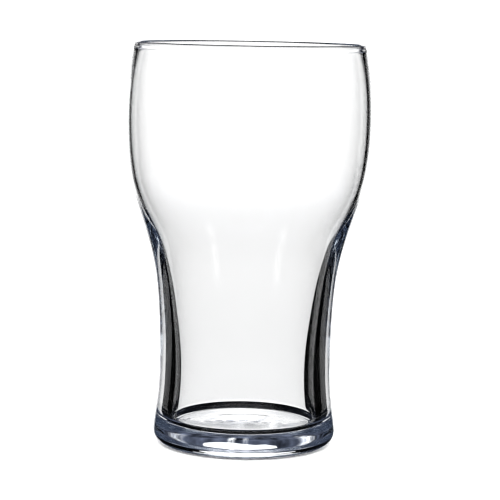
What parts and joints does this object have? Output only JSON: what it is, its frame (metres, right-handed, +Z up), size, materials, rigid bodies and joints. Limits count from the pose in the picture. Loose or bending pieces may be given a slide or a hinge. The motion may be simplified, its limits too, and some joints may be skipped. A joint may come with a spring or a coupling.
{
  "type": "pint glass",
  "caption": "Tall clear pint glass: slim thick-walled lower body, shoulder opening into a wide thin-walled bowl, fire-polished rim and heavy solid foot.",
  "frame": {"origin": "centre of the plane that the foot's ring rests on", "axes": "+Z up along the glass's own axis of symmetry, towards the rim; the glass is round, so +X and +Y are free"},
  "size_m": [0.0894, 0.0894, 0.146],
  "materials": {
    "clear_glass": "clear soda-lime glass, smooth and fire-polished, faint cool grey tint where it is thick"
  },
  "bodies": {
    "root": {"glass_tumbler": "clear_glass"}
  },
  "joints": []
}
